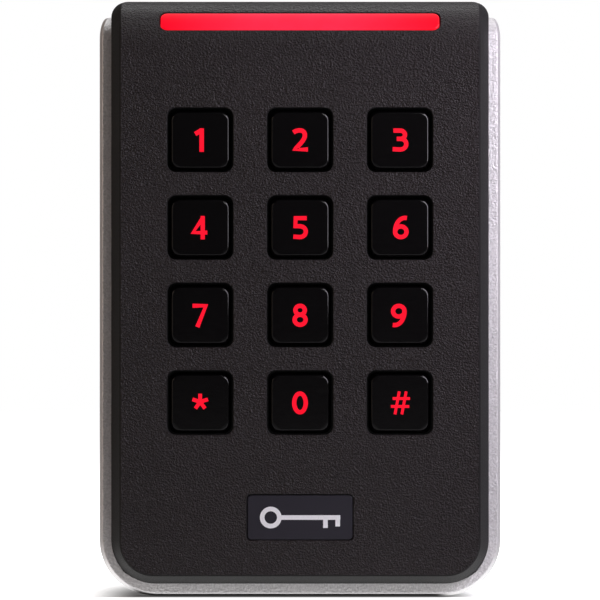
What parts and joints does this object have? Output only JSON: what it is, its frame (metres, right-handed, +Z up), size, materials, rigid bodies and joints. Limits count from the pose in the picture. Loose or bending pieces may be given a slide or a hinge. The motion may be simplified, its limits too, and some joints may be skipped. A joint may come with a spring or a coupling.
{
  "type": "keypad access reader",
  "caption": "Wall-mounted keypad access reader: black textured cover with square keys and a lit top bar, over a silver rear housing on a hook-on steel plate.",
  "frame": {"origin": "middle of the mounting plate's wall face", "axes": "+X to the reader's right as seen from the front, +Y into the wall, +Z up; the keys face -Y"},
  "size_m": [0.08, 0.0215, 0.118],
  "materials": {
    "plate_steel": "zinc-plated pressed steel",
    "screw_steel": "zinc-plated",
    "housing_silver": "satin silver paint on plastic",
    "gasket_rubber": "soft foam rubber",
    "cover_black": "fine-textured black",
    "lens_red": "lit red diffuser",
    "guide_clear": "clear moulded plastic",
    "board_green": "green solder resist on glass-fibre board",
    "badge_grey": "satin dark grey",
    "badge_silver": "bright silver foil",
    "key_black": "glossy black",
    "legend_red": "backlit red",
    "mat_silicone": "translucent grey silicone",
    "dome_film": "film with snap domes",
    "ferrite": "sintered ferrite",
    "coil_copper": "enamelled copper",
    "shield_tin": "tinned steel",
    "connector_cream": "nylon",
    "part_black": "moulded black",
    "terminal_green": "green nylon"
  },
  "bodies": {
    "reader": {"mounting_plate": "plate_steel", "cover_screw_1": "screw_steel", "cover_screw_2": "screw_steel", "cover_screw_3": "screw_steel", "cover_screw_4": "screw_steel", "cover_screw_5": "screw_steel", "cover_screw_6": "screw_steel", "keypad_board_screw_1": "screw_steel", "keypad_board_screw_2": "screw_steel", "keypad_board_screw_3": "screw_steel", "keypad_board_screw_4": "screw_steel", "main_board_screw_1": "screw_steel", "main_board_screw_2": "screw_steel", "rear_housing": "housing_silver", "housing_gasket": "gasket_rubber", "front_cover": "cover_black", "light_bar_lens": "lens_red", "light_guide": "guide_clear", "led_board": "board_green", "keypad_board": "board_green", "main_board": "board_green", "badge_plate": "badge_grey", "badge_mark": "badge_silver", "keypad_mat": "mat_silicone", "dome_sheet": "dome_film", "ferrite_frame": "ferrite", "antenna_coil": "coil_copper", "shield_can": "shield_tin", "board_connector": "connector_cream", "buzzer": "part_black", "tamper_sensor": "part_black", "terminal_block_upper": "terminal_green", "terminal_block_lower": "terminal_green"},
    "key_1": {"key_cap_1": "key_black", "key_legend_1": "legend_red"},
    "key_2": {"key_cap_2": "key_black", "key_legend_2": "legend_red"},
    "key_3": {"key_cap_3": "key_black", "key_legend_3": "legend_red"},
    "key_4": {"key_cap_4": "key_black", "key_legend_4": "legend_red"},
    "key_5": {"key_cap_5": "key_black", "key_legend_5": "legend_red"},
    "key_6": {"key_cap_6": "key_black", "key_legend_6": "legend_red"},
    "key_7": {"key_cap_7": "key_black", "key_legend_7": "legend_red"},
    "key_8": {"key_cap_8": "key_black", "key_legend_8": "legend_red"},
    "key_9": {"key_cap_9": "key_black", "key_legend_9": "legend_red"},
    "key_star": {"key_cap_star": "key_black", "key_legend_star": "legend_red"},
    "key_0": {"key_cap_0": "key_black", "key_legend_0": "legend_red"},
    "key_hash": {"key_cap_hash": "key_black", "key_legend_hash": "legend_red"},
    "retaining_screw": {"retaining_screw": "screw_steel"}
  },
  "joints": [
    {"name": "key_1_press", "type": "slide", "parent": "reader", "child": "key_1", "axis": [0, 1, 0], "range_m": [0, 0.0008], "stiffness_N_per_m": 800, "springref_m": -0.0006, "deforming": ["keypad_mat"]},
    {"name": "key_2_press", "type": "slide", "parent": "reader", "child": "key_2", "axis": [0, 1, 0], "range_m": [0, 0.0008], "stiffness_N_per_m": 800, "springref_m": -0.0006, "deforming": ["keypad_mat"]},
    {"name": "key_3_press", "type": "slide", "parent": "reader", "child": "key_3", "axis": [0, 1, 0], "range_m": [0, 0.0008], "stiffness_N_per_m": 800, "springref_m": -0.0006, "deforming": ["keypad_mat"]},
    {"name": "key_4_press", "type": "slide", "parent": "reader", "child": "key_4", "axis": [0, 1, 0], "range_m": [0, 0.0008], "stiffness_N_per_m": 800, "springref_m": -0.0006, "deforming": ["keypad_mat"]},
    {"name": "key_5_press", "type": "slide", "parent": "reader", "child": "key_5", "axis": [0, 1, 0], "range_m": [0, 0.0008], "stiffness_N_per_m": 800, "springref_m": -0.0006, "deforming": ["keypad_mat"]},
    {"name": "key_6_press", "type": "slide", "parent": "reader", "child": "key_6", "axis": [0, 1, 0], "range_m": [0, 0.0008], "stiffness_N_per_m": 800, "springref_m": -0.0006, "deforming": ["keypad_mat"]},
    {"name": "key_7_press", "type": "slide", "parent": "reader", "child": "key_7", "axis": [0, 1, 0], "range_m": [0, 0.0008], "stiffness_N_per_m": 800, "springref_m": -0.0006, "deforming": ["keypad_mat"]},
    {"name": "key_8_press", "type": "slide", "parent": "reader", "child": "key_8", "axis": [0, 1, 0], "range_m": [0, 0.0008], "stiffness_N_per_m": 800, "springref_m": -0.0006, "deforming": ["keypad_mat"]},
    {"name": "key_9_press", "type": "slide", "parent": "reader", "child": "key_9", "axis": [0, 1, 0], "range_m": [0, 0.0008], "stiffness_N_per_m": 800, "springref_m": -0.0006, "deforming": ["keypad_mat"]},
    {"name": "key_star_press", "type": "slide", "parent": "reader", "child": "key_star", "axis": [0, 1, 0], "range_m": [0, 0.0008], "stiffness_N_per_m": 800, "springref_m": -0.0006, "deforming": ["keypad_mat"]},
    {"name": "key_0_press", "type": "slide", "parent": "reader", "child": "key_0", "axis": [0, 1, 0], "range_m": [0, 0.0008], "stiffness_N_per_m": 800, "springref_m": -0.0006, "deforming": ["keypad_mat"]},
    {"name": "key_hash_press", "type": "slide", "parent": "reader", "child": "key_hash", "axis": [0, 1, 0], "range_m": [0, 0.0008], "stiffness_N_per_m": 800, "springref_m": -0.0006, "deforming": ["keypad_mat"]},
    {"name": "retaining_screw_out", "type": "slide", "parent": "reader", "child": "retaining_screw", "axis": [0, 0, -1], "range_m": [0, 0.009]}
  ]
}
